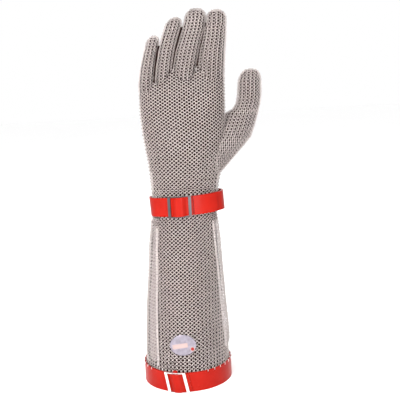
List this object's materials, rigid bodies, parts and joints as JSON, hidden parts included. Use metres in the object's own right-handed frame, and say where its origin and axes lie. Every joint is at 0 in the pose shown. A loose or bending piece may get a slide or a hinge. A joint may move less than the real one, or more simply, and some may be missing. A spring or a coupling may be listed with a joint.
{
  "type": "chain mail glove",
  "caption": "Long-cuff stainless ring mail glove for the left hand, with white side stays, two red plastic straps on metal sliders and a small oval badge.",
  "frame": {"origin": "inside the cuff mouth, on the forearm's axis, in the plane of the cuff strap's lower edge, on which the glove stands; 2 mm from the strap's own centre", "axes": "+Z from the cuff mouth up the forearm to the fingertips, +X towards the thumb, -Y out of the back of the hand, +Y out of the palm"},
  "size_m": [0.1326, 0.0944, 0.3694],
  "materials": {
    "mail_steel": "welded stainless ring mail, bright and slightly warm",
    "seam_steel": "bright stainless rings set on edge",
    "slider_steel": "polished pressed stainless steel",
    "badge_metal": "satin metal disc",
    "size_dot": "red enamel dot",
    "red_strap": "smooth red polyurethane strap",
    "white_stay": "white moulded plastic strip"
  },
  "bodies": {
    "cuff": {"badge_backing_plate": "badge_metal", "badge_rivets": "badge_metal", "badge_size_dot": "size_dot", "cuff_link_rings": "mail_steel", "cuff_mail_back_of_hand_side": "mail_steel", "cuff_mail_palm_side": "mail_steel", "cuff_strap": "red_strap", "left_stay": "white_stay", "left_stay_pocket_mail": "mail_steel", "left_stay_seam_rings": "seam_steel", "right_stay": "white_stay", "right_stay_pocket_mail": "mail_steel", "right_stay_seam_rings": "seam_steel", "size_badge": "badge_metal", "wrist_link_rings": "mail_steel", "wrist_strap": "red_strap"},
    "cuff_slider": {"cuff_slider": "slider_steel", "cuff_strap_free_end": "red_strap", "cuff_strap_end_tab": "red_strap"},
    "wrist_slider": {"wrist_slider": "slider_steel", "wrist_strap_free_end": "red_strap"},
    "wrist_tail": {"wrist_strap_tail": "red_strap"},
    "hand": {"back_of_hand_mail": "mail_steel", "palm_mail": "mail_steel"},
    "thumb_base": {"thumb_base_mail": "mail_steel"},
    "thumb_tip": {"thumb_tip_mail": "mail_steel"},
    "little_base": {"little_finger_base_mail": "mail_steel"},
    "little_tip": {"little_finger_tip_mail": "mail_steel"},
    "ring_base": {"ring_finger_base_mail": "mail_steel"},
    "ring_tip": {"ring_finger_tip_mail": "mail_steel"},
    "middle_base": {"middle_finger_base_mail": "mail_steel"},
    "middle_tip": {"middle_finger_tip_mail": "mail_steel"},
    "index_base": {"index_finger_base_mail": "mail_steel"},
    "index_tip": {"index_finger_tip_mail": "mail_steel"}
  },
  "joints": [
    {"name": "wrist_flex", "type": "hinge", "parent": "cuff", "child": "hand", "pos_m": [0.008, 0, 0.202], "axis": [-1, 0, 0], "range_deg": [-25, 35]},
    {"name": "cuff_slider_travel", "type": "hinge", "parent": "cuff", "child": "cuff_slider", "pos_m": [0.0005, 0.002, 0], "axis": [0, 0, 1], "range_deg": [-8, 8]},
    {"name": "wrist_slider_travel", "type": "hinge", "parent": "cuff", "child": "wrist_slider", "pos_m": [0.0086, 0.027, 0.1815], "axis": [-0.0523, 0, 0.9986], "range_deg": [-6, 6]},
    {"name": "wrist_tail_peel", "type": "hinge", "parent": "wrist_slider", "child": "wrist_tail", "pos_m": [0.01548, -0.02474, 0.18186], "axis": [0.0523, 0, -0.9986], "range_deg": [0, 70], "stiffness_Nm_per_rad": 0.01},
    {"name": "thumb_fold", "type": "hinge", "parent": "hand", "child": "thumb_base", "pos_m": [0.0455, 0.003, 0.208], "axis": [0.1414, 0, 0.9899], "range_deg": [0, 40]},
    {"name": "thumb_tip_flex", "type": "hinge", "parent": "thumb_base", "child": "thumb_tip", "pos_m": [0.0754, 0.0085, 0.283], "axis": [-1, 0, 0], "range_deg": [0, 50]},
    {"name": "little_knuckle_flex", "type": "hinge", "parent": "hand", "child": "little_base", "pos_m": [-0.02504, 0.0025, 0.291], "axis": [-1, 0, 0], "range_deg": [0, 50]},
    {"name": "little_tip_flex", "type": "hinge", "parent": "little_base", "child": "little_tip", "pos_m": [-0.02182, 0.0025, 0.318], "axis": [-1, 0, 0], "range_deg": [0, 60]},
    {"name": "ring_knuckle_flex", "type": "hinge", "parent": "hand", "child": "ring_base", "pos_m": [-0.00871, 0.0025, 0.297], "axis": [-1, 0, 0], "range_deg": [0, 50]},
    {"name": "ring_tip_flex", "type": "hinge", "parent": "ring_base", "child": "ring_tip", "pos_m": [-0.00394, 0.0025, 0.329], "axis": [-1, 0, 0], "range_deg": [0, 60]},
    {"name": "middle_knuckle_flex", "type": "hinge", "parent": "hand", "child": "middle_base", "pos_m": [0.01117, 0.0025, 0.3], "axis": [-1, 0, 0], "range_deg": [0, 50]},
    {"name": "middle_tip_flex", "type": "hinge", "parent": "middle_base", "child": "middle_tip", "pos_m": [0.01888, 0.0025, 0.336], "axis": [-1, 0, 0], "range_deg": [0, 60]},
    {"name": "index_knuckle_flex", "type": "hinge", "parent": "hand", "child": "index_base", "pos_m": [0.03827, 0.0025, 0.3], "axis": [-1, 0, 0], "range_deg": [0, 50]},
    {"name": "index_tip_flex", "type": "hinge", "parent": "index_base", "child": "index_tip", "pos_m": [0.0427, 0.0025, 0.334], "axis": [-1, 0, 0], "range_deg": [0, 60]}
  ]
}
